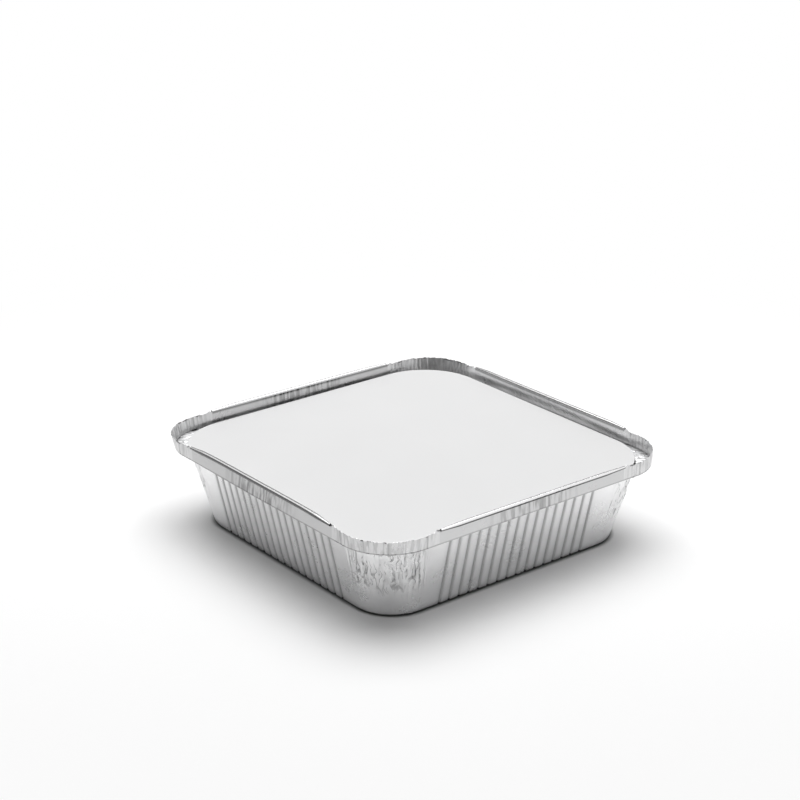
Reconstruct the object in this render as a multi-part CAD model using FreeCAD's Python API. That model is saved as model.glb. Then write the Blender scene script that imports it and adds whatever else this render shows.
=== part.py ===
import FreeCAD
import Part
import enum
import math
import os
import random

# Square foil food container with a plain board lid laid on the ledge inside its standing rim.
# Millimetres. X and Y run along the sides, Z is up, the origin is under the middle of the base.
# The tray is one sheet of foil: floor, tapered walls with upright grooves, gathered corners,
# a flat ledge, a standing rim, and a bead rolled outwards along each straight side.

# Tray, outside sizes
rim_width = 228.0  # across the outer faces of the standing rim
base_width = 192.8  # across the walls where they run down to the table
tray_height = 59.3  # from the table to the top of the rolled bead
ledge_height = 48.9  # from the table to the underside of the ledge
ledge_width = 6.4  # from the top of the wall to the standing rim
foil_thickness = 0.1
base_fold_height = 1.2  # of the slanted fold between the floor and the wall
base_fold_run = 1.1  # how far it leans in, from the wall carried down to the table

# Tray corners, radii of the outer skin
rim_corner_radius = 32.0
rim_corner_flare = 2.2  # how far the top of the rim leans out in the middle of a corner
wall_corner_radius = 33.0
base_corner_radius = 24.9

# Rolled bead on the straight sides
bead_diameter = 2.7
bead_turn = 318.0  # degrees of roll, from the rim over the top and back under
bead_setback = 10.8  # from the start of the rim's corner to the end of the bead

# Upright grooves pressed into the walls
groove_width = 2.4  # at its mouth
groove_bottom_width = 0.5
groove_depth = 1.2
front_groove_pitch = 7.37  # on the front and back
side_groove_pitch = 7.18  # on the left and right
front_groove_margin = 13.0  # least plain wall beside the row, on the front and back
side_groove_margin = 11.0  # least plain wall beside the row, on the left and right
front_groove_shift = -1.6  # how far the front and back rows lie off the middle

# Gathered folds of the corners
folds_per_corner = 11
fold_depth = 0.62  # deepest fold of the wall, from its mean line
fold_wander = 0.45  # how far a fold strays sideways, as a share of the fold spacing
shallowest_fold = 0.45  # as a share of the deepest
rim_fold_depth = 0.24
rim_fold_at_foot = 0.14
ledge_fold_depth = 0.4  # at the top of the wall
ledge_fold_at_rim = 0.2
raw_edge_drop = 1.8  # from the top of the bead to the unrolled edge at the corners
raw_edge_notch = 0.35  # how unevenly that edge is cut
# Height up the wall and strength of the folds there, both as shares
fold_levels = ((0.28, 0.35), (0.54, 1.0), (0.80, 0.85))
fold_strength_at_ledge = 0.45

# Board lid
lid_thickness = 0.6
lid_clearance = 4.3  # from the edge of the board to the standing rim
lid_corner_radius = 39.0

FOLD_SEED = 11
SIDES = 4
QUARTER_TURN = 90.0
UP = FreeCAD.Vector(0, 0, 1)
CENTRE = FreeCAD.Vector(0, 0, 0)


class Level:
    """One closed outline of the foil: a rounded square at one height."""

    def __init__(self, half, radius, height, flat, fold=0.0, sink=0.0, raw=False):
        self.half = half
        self.radius = radius
        self.height = height
        self.flat = flat  # half length of the flat side, before the folds begin
        self.fold = fold
        self.sink = sink
        self.raw = raw

    def moved(self, outwards, upwards):
        """The same outline on the other skin of the foil, with the same corner centres."""
        return Level(self.half + outwards, self.radius + outwards, self.height + upwards,
                     self.flat, self.fold, self.sink, self.raw)


def outer_levels():
    """Outlines of the outer skin, from the floor up to the top of the standing rim."""
    rim_half = rim_width / 2
    base_half = base_width / 2
    wall_half = rim_half - ledge_width
    slope = (wall_half - base_half) / ledge_height
    lower_flat = base_half - base_corner_radius
    upper_flat = min(wall_half - wall_corner_radius, rim_half - rim_corner_radius - bead_setback)

    def wall_level(height, fold, sink=0.0):
        share = height / ledge_height
        return Level(base_half + slope * height,
                     base_corner_radius + share * (wall_corner_radius - base_corner_radius),
                     height, lower_flat + share * (upper_flat - lower_flat), fold, sink)

    levels = [Level(base_half - base_fold_run, base_corner_radius - base_fold_run, 0.0, lower_flat),
              wall_level(base_fold_height, 0.0)]
    for share, strength in fold_levels:
        levels.append(wall_level(share * ledge_height, strength * fold_depth))
    levels.append(wall_level(ledge_height, fold_strength_at_ledge * fold_depth, ledge_fold_depth))
    levels.append(Level(rim_half, rim_corner_radius, ledge_height, upper_flat,
                        rim_fold_at_foot, ledge_fold_at_rim))
    levels.append(Level(rim_half, rim_corner_radius, tray_height - bead_diameter / 2, upper_flat,
                        rim_fold_depth, raw=True))
    return levels


class Place(enum.IntEnum):
    """Where the named outlines stand in a list of levels, from its start or from its end."""

    FLOOR = 0
    WALL_FOOT = 1
    WALL_TOP = -3
    RIM_FOOT = -2
    RIM_TOP = -1


def inner_levels(levels):
    """The outlines of the inner skin, one foil thickness inside the outer ones."""
    inner = []
    before = (0.0, 1.0)
    for i, level in enumerate(levels):
        if i + 1 < len(levels):
            run = levels[i + 1].half - level.half
            rise = levels[i + 1].height - level.height
            length = math.hypot(run, rise)
            after = (-rise / length, run / length)
        else:
            after = before
        mitre = foil_thickness / (1 + before[0] * after[0] + before[1] * after[1])
        inner.append(level.moved(mitre * (before[0] + after[0]), mitre * (before[1] + after[1])))
        before = after
    return inner


def corner_place(level, share):
    """Point and outward direction at a share of the way round a corner zone of an outline.

    The zone runs from the end of the front side to the start of the right side.
    """
    straight = level.half - level.radius - level.flat
    arc = level.radius * math.pi / 2
    along = share * (2 * straight + arc)
    middle = level.half - level.radius
    if along < straight:
        return FreeCAD.Vector(level.flat + along, -level.half, level.height), FreeCAD.Vector(0, -1, 0)
    if along > straight + arc:
        back = along - straight - arc
        return FreeCAD.Vector(level.half, back - middle, level.height), FreeCAD.Vector(1, 0, 0)
    angle = (along - straight) / level.radius
    out = FreeCAD.Vector(math.sin(angle), -math.cos(angle), 0)
    return FreeCAD.Vector(middle, -middle, level.height) + out * level.radius, out


class Folds:
    """Uneven gathers of one corner: where each crease runs and how deep it is."""

    def __init__(self, corner, level_count):
        dice = random.Random(FOLD_SEED + corner)
        self.creases = 2 * folds_per_corner
        self.depth = [dice.uniform(shallowest_fold, 1.0) for _ in range(self.creases + 1)]
        self.stray = [[dice.uniform(-0.5, 0.5) * fold_wander for _ in range(self.creases + 1)]
                      for _ in range(level_count)]
        self.notch = [dice.uniform(-1.0, 1.0) * raw_edge_notch for _ in range(self.creases + 1)]

    def point(self, level, index, crease):
        """Point of one crease on one outline; the first and last lie on the flat sides."""
        if crease in (0, self.creases):
            return corner_place(level, crease / self.creases)[0]
        stray = self.stray[index][crease] if level.fold > 0 else 0.0
        place, out = corner_place(level, (crease + stray) / self.creases)
        ridge = 1 if crease % 2 else -1
        outwards = ridge * level.fold * self.depth[crease]
        drop = level.sink * self.depth[crease] if ridge < 0 else 0.0
        if level.raw:
            outwards += rim_corner_flare * math.sin(math.pi * crease / self.creases)
            drop = raw_edge_drop - bead_diameter / 2 + self.notch[crease]
        return place + out * outwards - UP * drop


def turned(shape, side):
    """A shape or a point made for the front side, carried round to another side."""
    turn = FreeCAD.Rotation(UP, QUARTER_TURN * side)
    if isinstance(shape, FreeCAD.Vector):
        return turn.multVec(shape)
    copy = shape.copy()
    copy.rotate(CENTRE, UP, QUARTER_TURN * side)
    return copy


def polygon_edges(points):
    return [Part.makeLine(a, b) for a, b in zip(points, points[1:])]


def polygon_face(points):
    return Part.Face(Part.Wire(polygon_edges(points + points[:1])))


def triangle_pair(a, b, c, d):
    """Two flat facets over the four corners of a patch, split from a to c."""
    return [polygon_face([a, b, c]), polygon_face([a, c, d])]


def corner_grid(levels, corner):
    """Points of one gathered corner, outline by outline."""
    folds = Folds(corner, len(levels))
    return [[turned(folds.point(level, index, crease), corner) for crease in range(folds.creases + 1)]
            for index, level in enumerate(levels)]


def corner_skin(grid):
    faces = []
    for low, high in zip(grid, grid[1:]):
        for i in range(len(low) - 1):
            faces += triangle_pair(low[i], low[i + 1], high[i + 1], high[i])
    return faces


def groove_centres(side):
    """Places of the grooves along a side: a row as long as the flat wall and its margins allow."""
    if side % 2:
        pitch, margin, shift = side_groove_pitch, side_groove_margin, 0.0
    else:
        pitch, margin, shift = front_groove_pitch, front_groove_margin, front_groove_shift
    flat_wall = base_width - 2 * base_corner_radius
    count = int((flat_wall - 2 * margin - groove_width) / pitch) + 1
    return [shift + (i - (count - 1) / 2) * pitch for i in range(count)]


def side_edges(level, centres, depth):
    """Edges of one straight side at one height: flats, and three across each groove."""
    stops = [(-level.flat, 0.0)]
    for centre in centres:
        stops += [(centre - groove_width / 2, 0.0), (centre - groove_bottom_width / 2, depth),
                  (centre + groove_bottom_width / 2, depth), (centre + groove_width / 2, 0.0)]
    stops.append((level.flat, 0.0))
    return polygon_edges([FreeCAD.Vector(x, -level.half + inward, level.height)
                          for x, inward in stops])


def ends_of(edge):
    return edge.firstVertex(True).Point, edge.lastVertex(True).Point


def wall_margin(low, high, between, at_start):
    """Plain wall beside the grooves, with the fold levels of the corner as corners of its edge."""
    (a, b), (d, c) = ends_of(low), ends_of(high)
    if at_start:
        column = [FreeCAD.Vector(-level.flat, -level.half, level.height) for level in between]
        return polygon_face([a, b, c, d] + column[::-1])
    column = [FreeCAD.Vector(level.flat, -level.half, level.height) for level in between]
    return polygon_face([a, b] + column + [c, d])


def side_skin(levels, side):
    """Faces of one skin along one straight side, from the floor fold to the top of the rim."""
    centres = groove_centres(side)
    floor = side_edges(levels[Place.FLOOR], centres, 0.0)
    foot = side_edges(levels[Place.WALL_FOOT], centres, groove_depth)
    top = side_edges(levels[Place.WALL_TOP], centres, groove_depth)
    faces = [Part.makeRuledSurface(a, b) for a, b in zip(floor, foot)]
    between = levels[Place.WALL_FOOT + 1:Place.WALL_TOP]
    faces.append(wall_margin(foot[0], top[0], between, True))
    faces += [Part.makeRuledSurface(a, b) for a, b in zip(foot[1:-1], top[1:-1])]
    faces.append(wall_margin(foot[-1], top[-1], between, False))

    wall_top, rim_foot, rim_top = levels[Place.WALL_TOP], levels[Place.RIM_FOOT], levels[Place.RIM_TOP]
    ledge_ends = [FreeCAD.Vector(wall_top.flat, -wall_top.half, wall_top.height),
                  FreeCAD.Vector(rim_foot.flat, -rim_foot.half, rim_foot.height),
                  FreeCAD.Vector(-rim_foot.flat, -rim_foot.half, rim_foot.height),
                  FreeCAD.Vector(-wall_top.flat, -wall_top.half, wall_top.height)]
    faces.append(Part.Face(Part.Wire(top + polygon_edges(ledge_ends))))
    faces.append(polygon_face([ledge_ends[2], ledge_ends[1],
                               FreeCAD.Vector(rim_top.flat, -rim_top.half, rim_top.height),
                               FreeCAD.Vector(-rim_top.flat, -rim_top.half, rim_top.height)]))
    return [turned(face, side) for face in faces]


def bead_arc(radius, x, rim_inner, height):
    """One skin of the rolled bead at one end, from the rim over the top and back under."""
    centre_y = -(rim_inner + bead_diameter / 2)

    def at(degrees):
        angle = math.radians(degrees)
        return FreeCAD.Vector(x, centre_y + radius * math.cos(angle), height + radius * math.sin(angle))
    return Part.Arc(at(0), at(bead_turn / 2), at(bead_turn)).toShape()


def bead_faces(outer_top, inner_top, side):
    """The rolled bead of one side; its skins carry on from the two skins of the rim."""
    outside = bead_diameter / 2
    inside = outside - foil_thickness
    arcs = {}
    for x in (-outer_top.flat, outer_top.flat):
        arcs[x] = (bead_arc(outside, x, inner_top.half, inner_top.height),
                   bead_arc(inside, x, inner_top.half, outer_top.height))
    (out_a, in_a), (out_b, in_b) = arcs.values()
    faces = [Part.makeRuledSurface(out_a, out_b), Part.makeRuledSurface(in_a, in_b)]
    starts = []
    tips = []
    for outer_arc, inner_arc in arcs.values():
        outer_start, outer_tip = ends_of(outer_arc)
        inner_start, inner_tip = ends_of(inner_arc)
        root = Part.makeLine(inner_start, outer_start)
        lip = Part.makeLine(outer_tip, inner_tip)
        faces.append(Part.Face(Part.Wire([root, outer_arc, lip, inner_arc])))
        starts.append((outer_start, inner_start))
        tips.append((outer_tip, inner_tip))
    faces.append(polygon_face([tips[0][0], tips[1][0], tips[1][1], tips[0][1]]))
    return [turned(face, side) for face in faces]


def raw_edge_faces(outer_row, inner_row):
    """The cut edge of the foil round one corner, between the two skins."""
    faces = []
    for i in range(len(outer_row) - 1):
        faces += triangle_pair(outer_row[i], outer_row[i + 1], inner_row[i + 1], inner_row[i])
    return faces


def floor_face(level, grids):
    """The flat floor of one skin, inside the outline where the walls begin."""
    edges = []
    for side in range(SIDES):
        edges += [turned(edge, side) for edge in side_edges(level, groove_centres(side), 0.0)]
        edges += polygon_edges(grids[side][Place.FLOOR])
    return Part.Face(Part.Wire(edges))


def make_foil_tray():
    outer = outer_levels()
    inner = inner_levels(outer)
    faces = []
    grids = {}
    for name, levels in (("outer", outer), ("inner", inner)):
        grids[name] = [corner_grid(levels, corner) for corner in range(SIDES)]
        for side in range(SIDES):
            faces += side_skin(levels, side)
            faces += corner_skin(grids[name][side])
        faces.append(floor_face(levels[Place.FLOOR], grids[name]))
    for side in range(SIDES):
        faces += bead_faces(outer[Place.RIM_TOP], inner[Place.RIM_TOP], side)
        faces += raw_edge_faces(grids["outer"][side][Place.RIM_TOP], grids["inner"][side][Place.RIM_TOP])
    shell = Part.Shell(Part.makeCompound(faces).Faces)
    shell.sewShape()
    tray = Part.Solid(shell.Shells[0] if shell.ShapeType != "Shell" else shell)
    if tray.Volume < 0:
        tray.reverse()
    return tray


def make_board_lid():
    half = rim_width / 2 - foil_thickness - lid_clearance
    straight = half - lid_corner_radius
    bottom = ledge_height + foil_thickness
    edges = []
    for side in range(SIDES):
        left = FreeCAD.Vector(-straight, -half, bottom)
        right = FreeCAD.Vector(straight, -half, bottom)
        bend = lid_corner_radius * math.sin(math.radians(QUARTER_TURN / 2))
        middle = FreeCAD.Vector(straight + bend, -straight - bend, bottom)
        end = FreeCAD.Vector(half, -straight, bottom)
        edges.append(turned(Part.makeLine(left, right), side))
        edges.append(turned(Part.Arc(right, middle, end).toShape(), side))
    return Part.Face(Part.Wire(edges)).extrude(UP * lid_thickness)


os.makedirs("parts", exist_ok=True)
for name, make in (("foil_tray", make_foil_tray), ("board_lid", make_board_lid)):
    solid = make()
    solid.exportStep("parts/" + name + ".step")
    print(name, "valid", solid.isValid(), "solids", len(solid.Solids), "faces", len(solid.Faces),
          "volume", round(solid.Volume, 1))
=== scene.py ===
import math
from collections import namedtuple

import bpy
import numpy as np
from mathutils import Matrix, Vector


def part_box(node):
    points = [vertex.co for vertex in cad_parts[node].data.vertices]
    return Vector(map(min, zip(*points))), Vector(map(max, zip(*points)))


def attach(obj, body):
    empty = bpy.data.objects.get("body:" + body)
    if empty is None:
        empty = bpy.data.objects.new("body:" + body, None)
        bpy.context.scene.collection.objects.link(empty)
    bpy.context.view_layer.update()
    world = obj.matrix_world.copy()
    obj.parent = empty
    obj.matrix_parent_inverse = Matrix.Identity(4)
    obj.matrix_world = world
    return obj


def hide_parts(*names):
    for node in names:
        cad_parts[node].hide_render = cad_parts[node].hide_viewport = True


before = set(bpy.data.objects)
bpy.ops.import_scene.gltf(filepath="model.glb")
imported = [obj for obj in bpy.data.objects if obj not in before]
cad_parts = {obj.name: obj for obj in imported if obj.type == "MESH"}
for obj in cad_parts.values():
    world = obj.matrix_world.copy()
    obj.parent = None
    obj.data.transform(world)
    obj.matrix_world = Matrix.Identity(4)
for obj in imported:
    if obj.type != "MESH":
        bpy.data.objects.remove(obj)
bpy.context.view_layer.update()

bl_info = {
    "name": "Foil food container",
    "version": (1, 0, 0),
    "blender": (4, 5, 0),
    "location": "View3D > Sidebar > Foil Container",
    "description": "Square foil tray with grooved walls, gathered corners and a loose board lid",
    "category": "Add Mesh",
}

TRAY_HIGH = Vector(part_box("foil_tray")[1])
LID_LOW, LID_HIGH = (Vector(corner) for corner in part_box("board_lid"))
MM = 0.001
SIDES = 4  # front, right, back and left; the corners that follow them are right, far, left and near
RIGHT_SIDE, LEFT_SIDE = 1, 3


def length(name, description, default, low=0.0):
    """A length in metres, given in millimetres."""
    return bpy.props.FloatProperty(name=name, description=description, default=default * MM,
                                   min=low, precision=5, unit="LENGTH", subtype="DISTANCE")


def side_lengths(name, description, default):
    """Four lengths in metres, given in millimetres, for the four sides or corners."""
    return bpy.props.FloatVectorProperty(name=name, description=description, size=SIDES, precision=5,
                                         default=[value * MM for value in default], unit="LENGTH")


def angle(name, description, degrees):
    """An angle in radians, given in degrees."""
    return bpy.props.FloatProperty(name=name, description=description, default=math.radians(degrees),
                                   subtype="ANGLE", unit="ROTATION")


def colour(name, description, default):
    """A plain colour without see-through."""
    return bpy.props.FloatVectorProperty(name=name, description=description, default=default,
                                         size=3, min=0.0, max=1.0, subtype="COLOR")


def share(name, description, default):
    """A share from 0 to 1."""
    return bpy.props.FloatProperty(name=name, description=description, default=default,
                                   min=0.0, max=1.0, subtype="FACTOR")


class FoilTraySettings(bpy.types.PropertyGroup):
    """Sizes of the foil tray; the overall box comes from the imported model."""

    base_width: length("Base width", "Across the walls at the table", 192.8)
    ledge_width: length("Ledge width", "From the top of the wall to the standing rim", 6.4)
    foil: length("Foil thickness", "Thickness of the sheet", 0.1)
    base_round: length("Base round", "Radius between the floor and the walls", 2.4)
    rim_radius: length("Rim corner radius", "Outer radius of the rim's corners", 32.0)
    wall_radius: length("Wall corner radius", "Corner radius at the top of the walls", 33.0)
    base_radius: side_lengths("Base corner radii",
                              "Radii at the table of the right, far, left and near corners",
                              (28.5, 24.9, 29.0, 24.9))
    bead_diameter: length("Bead diameter", "Diameter of the rolled edge", 2.7)
    bead_setback: length("Bead setback", "From the rim's corner to the end of the bead", 10.8)
    bead_turn: angle("Bead turn", "How far the edge is rolled", 318)
    groove_width: length("Groove width", "Width of one upright groove at its mouth", 2.4)
    groove_bottom: length("Groove bottom", "Width of the groove's flat bottom", 0.5)
    groove_depth: length("Groove depth", "How far a groove is pressed into the wall", 1.2)
    front_pitch: length("Front pitch", "Groove to groove on the front and back", 7.37)
    side_pitch: length("Side pitch", "Groove to groove on the left and right", 7.18)
    front_grooves: bpy.props.IntProperty(name="Front grooves", default=16, min=1,
                                         description="Grooves on the front and back")
    side_grooves: bpy.props.IntProperty(name="Side grooves", default=17, min=1,
                                        description="Grooves on the left and right")
    front_shift: bpy.props.FloatProperty(
        name="Front shift", description="How far the front row lies off the middle",
        default=-1.6 * MM, unit="LENGTH", subtype="DISTANCE")
    bow: side_lengths("Bow", "How far the front, right, back and left rims bend in",
                      (0.5, 0.6, 0.0, 1.0))
    rise: side_lengths("Rise", "How far the front, right, back and left rims rise in the middle",
                       (0.0, 0.0, 0.0, 1.0))
    bulge: side_lengths("Bulge", "How far the front, right, back and left walls belly out",
                        (0.0, 0.6, 0.0, 0.65))
    crease_depth: length("Crease depth", "Deepest gather of the corner walls", 1.0)
    rim_crease_depth: length("Rim crease depth", "Depth of the crinkles in the rim's corners", 0.45)
    creases: bpy.props.IntProperty(name="Creases", description="Gathers in one corner",
                                   default=25, min=4)
    corner_flare: side_lengths("Corner flare",
                               "How far the rim leans out at the right, far, left and near corners",
                               (0.4, 2.2, 2.2, 2.2))
    raw_edge_drop: length("Raw edge drop", "From the top of the bead to the corners' cut edge", 1.8)
    raw_edge_notch: length("Raw edge notch", "How unevenly the corners' edge is cut", 0.5)


class BoardLidSettings(bpy.types.PropertyGroup):
    """Sizes of the board lid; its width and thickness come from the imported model."""

    corner_radius: length("Corner radius", "Radius of the lid's corners", 39.0)
    edge_round: length("Edge round", "Softening of the cut edge", 0.12)
    warp: length("Warp", "How far the far corner of the board lifts", 2.6)
    shift: length("Shift", "How far the loose board lies towards the back", 1.4)


class FinishSettings(bpy.types.PropertyGroup):
    """Colours and gloss of the foil, the board and the floor, and how strong the foil's painted shade
    is.
    """

    foil_colour: colour("Foil", "Colour of the bare foil", (0.94, 0.94, 0.945))
    # Strength of the painted shade in the foil's colour: in its creases, grooves and folds, and over its
    # foot, rim and beads
    painted_shade_strength: share("Crease dulling", "How much darker the foil looks inside its creases", 0.5)
    foil_roughness: share("Foil roughness", "Blur of the foil's reflections", 0.3)
    board_colour: colour("Board", "Colour of the board lid", (0.68, 0.68, 0.682))
    board_roughness: share("Board roughness", "Roughness of the board's coating", 0.55)
    floor_colour: colour("Floor", "Colour of the studio floor", (0.95, 0.95, 0.95))


class StageSettings(bpy.types.PropertyGroup):
    """Camera and studio light."""

    azimuth: angle("Azimuth", "Camera turn about the upright axis", -38.60)
    elevation: angle("Elevation", "Camera height angle", 20.99)
    roll: angle("Roll", "Camera roll", 0.07)
    distance: length("Distance", "From the aim point to the camera", 1316.4)
    aim: bpy.props.FloatVectorProperty(name="Aim", description="Point in the middle of the frame",
                                       default=(0.09765, 0.13306, 0.020), subtype="TRANSLATION",
                                       unit="LENGTH")
    lens: bpy.props.FloatProperty(name="Lens", default=83.68, min=10.0,
                                  description="Focal length in millimetres on a 36 mm frame")
    key_power: bpy.props.FloatProperty(name="Key power", description="Power of the large softbox",
                                       default=25.0, min=0.0, subtype="POWER", unit="POWER")
    floor_radius: length("Floor radius", "Radius of the studio floor", 9000.0)


def smooth(x):
    """Smooth step from 0 to 1."""
    x = np.clip(x, 0.0, 1.0)
    return x * x * (3 - 2 * x)


def rising(x, start, run):
    """Smooth step from 0 at the start to 1 at the end of the run."""
    return smooth((x - start) / run)


def from_low(low, x):
    """A share carried from the range 0 to 1 into the range low to 1."""
    return low + (1 - low) * x


class SoftNoise:
    """Smooth seeded noise over two coordinates, in the range -1 to 1."""

    def __init__(self, seed, size=64):
        self.values = np.random.RandomState(seed).uniform(-1, 1, (size, size))
        self.size = size

    def __call__(self, x, y):
        x, y = np.broadcast_arrays(np.asarray(x, float), np.asarray(y, float))
        left, low = np.floor(x).astype(int), np.floor(y).astype(int)
        across, up = smooth(x - left), smooth(y - low)
        n = self.size
        low_row = (self.values[left % n, low % n] * (1 - across)
                   + self.values[(left + 1) % n, low % n] * across)
        high_row = (self.values[left % n, (low + 1) % n] * (1 - across)
                    + self.values[(left + 1) % n, (low + 1) % n] * across)
        return low_row * (1 - up) + high_row * up


# Outlines of the tray

FOOT_PAINTED_SHADOW = (1.8, 1.8, 1.75, 1.2, 0.15)  # painted contact shadow up the round between the floor and the walls
RIM_PAINTED_SHADE = ((0.04, 1.1), (0.1, 0.64), (0.45, 0.64), (0.78, 0.64), (0.86, 1.0), (0.92, 1.5),
               (1.0, 1.2))  # shares of the way up the standing rim, with the painted shade at each: a dark line at its foot, a darker band, and the shade under the bead
LEDGE_FOLD_PAINTED_SHADE = 1.1  # painted shade line in the fold between the ledge and the rim
FLOOR_INSET = 3 * MM  # from the start of the foot's round in to the first outline
FOOT_GROOVES = 0.75  # depth of the grooves where the foot's round ends, as a share of the full one
GROOVE_RUN_IN = 0.125  # share of the wall over which they reach their full depth
BULGE_RUN_IN = 0.25  # share of the wall over which its belly begins
WALL_ROWS = 12
LEDGE_ROWS = 2


class Row:
    """One closed outline of the foil, from the floor up to the rim."""

    def __init__(self, half, radius, height, flat, groove=0.0, wall=None, ledge=None, rim=None,
                 painted_shade_level=0.0):
        self.half = half  # from the middle out to the sides
        self.radius = np.broadcast_to(radius, SIDES)  # of the right, far, left and near corners
        self.height = height
        self.flat = flat  # half length of the straight stretch of a side
        self.groove = groove  # share of the grooves' full depth
        self.wall = wall  # share of the way up the wall, or None off the wall
        self.ledge = ledge  # share of the way out over the ledge, or None off the ledge
        self.rim = rim  # share of the way up the standing rim, or None off the rim
        self.painted_shade_level = painted_shade_level  # how much painted shade darkens the foil along the whole outline
        self.bow = rim or 0.0  # share of the rim's bend and rise
        self.bulge = float(rising(height / LID_LOW.z, 0.0, BULGE_RUN_IN)) * (1 - self.bow)


def tray_rows(s):
    """Outlines of the outer skin of the tray, from its floor up to the top of the rim."""
    rim_half = TRAY_HIGH.x - s.bead_diameter + s.foil
    ledge_height = LID_LOW.z - s.foil
    base_half = s.base_width / 2
    base_radius = np.array(s.base_radius)
    wall_half = rim_half - s.ledge_width
    slope = (wall_half - base_half) / ledge_height
    lower_flat = base_half - max(base_radius)
    upper_flat = rim_half - s.rim_radius - s.bead_setback
    lean = math.atan(slope)
    centre_half = base_half - s.base_round * (1 - math.sin(lean)) / math.cos(lean)
    floor_half = centre_half - FLOOR_INSET
    rows = [Row(floor_half, base_radius - (base_half - floor_half), 0.0, lower_flat)]
    for i, painted_shade_level in enumerate(FOOT_PAINTED_SHADOW):
        up = i / (len(FOOT_PAINTED_SHADOW) - 1)
        turn = (math.pi / 2 - lean) * up
        half = centre_half + s.base_round * math.sin(turn)
        height = s.base_round * (1 - math.cos(turn))
        rows.append(Row(half, base_radius - (base_half - half), height, lower_flat,
                        groove=FOOT_GROOVES * float(smooth(up)), wall=0.0, painted_shade_level=painted_shade_level))
    start = rows[-1].height
    for i in range(1, WALL_ROWS + 1):
        part = i / WALL_ROWS
        height = start + part * (ledge_height - start)
        up = height / ledge_height
        rows.append(Row(base_half + slope * height,
                        base_radius + up * (s.wall_radius - base_radius), height,
                        lower_flat + up * (upper_flat - lower_flat),
                        groove=from_low(FOOT_GROOVES, float(rising(part, 0.0, GROOVE_RUN_IN))),
                        wall=part))
    for i in range(1, LEDGE_ROWS + 1):
        part = i / LEDGE_ROWS
        rows.append(Row(wall_half + part * s.ledge_width,
                        s.wall_radius + part * (s.rim_radius - s.wall_radius), ledge_height,
                        upper_flat, ledge=part, painted_shade_level=LEDGE_FOLD_PAINTED_SHADE * (i == LEDGE_ROWS)))
    rim_top = TRAY_HIGH.z - s.bead_diameter / 2
    for part, painted_shade_level in RIM_PAINTED_SHADE:
        rows.append(Row(rim_half, s.rim_radius, ledge_height + part * (rim_top - ledge_height),
                        upper_flat, rim=part, painted_shade_level=painted_shade_level))
    return rows


# Straight sides of the tray

GROOVE_SAMPLES = (-0.8, -0.52, -0.44, -0.34, -0.22, -0.1, 0.1, 0.22, 0.34, 0.44, 0.52, 0.8)
GROOVE_PAINTED_SHADES = (0.95, 1.2)  # painted shade of the grooves on the front and back, then on the other sides
GROOVE_SHADE_WIDTH = 0.52  # half width of that painted shade, as a share of the groove's width
MARGIN_COLUMNS = 5  # of the plain wall at each end of a row of grooves
BEND_FLATNESS = 6  # power that keeps the rim's bend and rise even over most of a side
LEFT_WALL_PAINTED_SHADE = 0.2  # painted shade of the wall that faces the dim side of the room
LEFT_WALL_SHADE_FROM, LEFT_WALL_SHADE_RUN = 12 * MM, 26 * MM  # heights over which it comes in
RIGHT_RIM_PAINTED_SHINE = 0.45  # painted lighter reflection: how much less painted shade the right rim has halfway up


def groove_columns(s, side):
    """Sideways places of the columns over one row of grooves, with each one's depth and painted shade.
    """
    if side % 2:
        count, pitch, shift = s.side_grooves, s.side_pitch, 0.0
    else:
        count, pitch, shift = s.front_grooves, s.front_pitch, s.front_shift
    flank = (s.groove_width - s.groove_bottom) / 2
    places, depths, shades = [], [], []
    for i in range(count):
        centre = shift + (i - (count - 1) / 2) * pitch
        for sample in GROOVE_SAMPLES:
            from_edge = s.groove_width / 2 - abs(sample) * s.groove_width
            places.append(centre + sample * s.groove_width)
            depths.append(s.groove_depth * float(smooth(from_edge / flank)))
            shades.append(GROOVE_PAINTED_SHADES[side % 2] * math.exp(-(sample / GROOVE_SHADE_WIDTH) ** 2))
        if i < count - 1:
            places.append(centre + pitch / 2)
            depths.append(0.0)
            shades.append(0.0)
    return np.array(places), np.array(depths), np.array(shades)


def side_painted_shade(row, side):
    """Painted shade that makes the left wall darker than the others, and a painted lighter reflection
    that makes the right rim less dark.
    """
    if side % SIDES == LEFT_SIDE:
        return LEFT_WALL_PAINTED_SHADE * float(rising(row.height, LEFT_WALL_SHADE_FROM, LEFT_WALL_SHADE_RUN))
    if side % SIDES == RIGHT_SIDE:
        return -RIGHT_RIM_PAINTED_SHINE * math.sin(math.pi * row.bow)
    return 0.0


def side_row(row, side, s):
    """Points of one outline along a side drawn as the front, from its left end to its right end."""
    places, depths, shades = groove_columns(s, side)
    left = np.linspace(-row.flat, places[0], MARGIN_COLUMNS + 1)[:-1]
    right = np.linspace(places[-1], row.flat, MARGIN_COLUMNS + 1)[1:]
    x = np.concatenate([left, places, right])
    margin = np.zeros(MARGIN_COLUMNS)
    depth = np.concatenate([margin, depths, margin])
    groove_shade = np.concatenate([margin, shades, margin])
    span = x / row.flat
    bend = row.bow * (1 - span ** BEND_FLATNESS)
    belly = row.bulge * (1 - span ** 2) ** 2
    inward = row.groove * depth + s.bow[side] * bend - s.bulge[side] * belly
    # painted shade: the outline's own, the side's, and the grooves'
    shade = row.painted_shade_level + side_painted_shade(row, side) + row.groove * groove_shade
    return np.stack([x, -row.half + inward, row.height + s.rise[side] * bend], 1), shade


# Gathered corners of the tray

CORNER_COLUMNS = 150
# painted shade of the corners' rim
CORNER_RIM_PAINTED_SHADE = 0.45
CORNER_RIM_FROM = 0.05  # share of the way up the rim from which it counts
CUT_EDGE_DARKENING = 1.5  # how much darker the marks under the cut edge are
CUT_EDGE_DARK_FROM = 0.86  # share of the way up the rim

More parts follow.
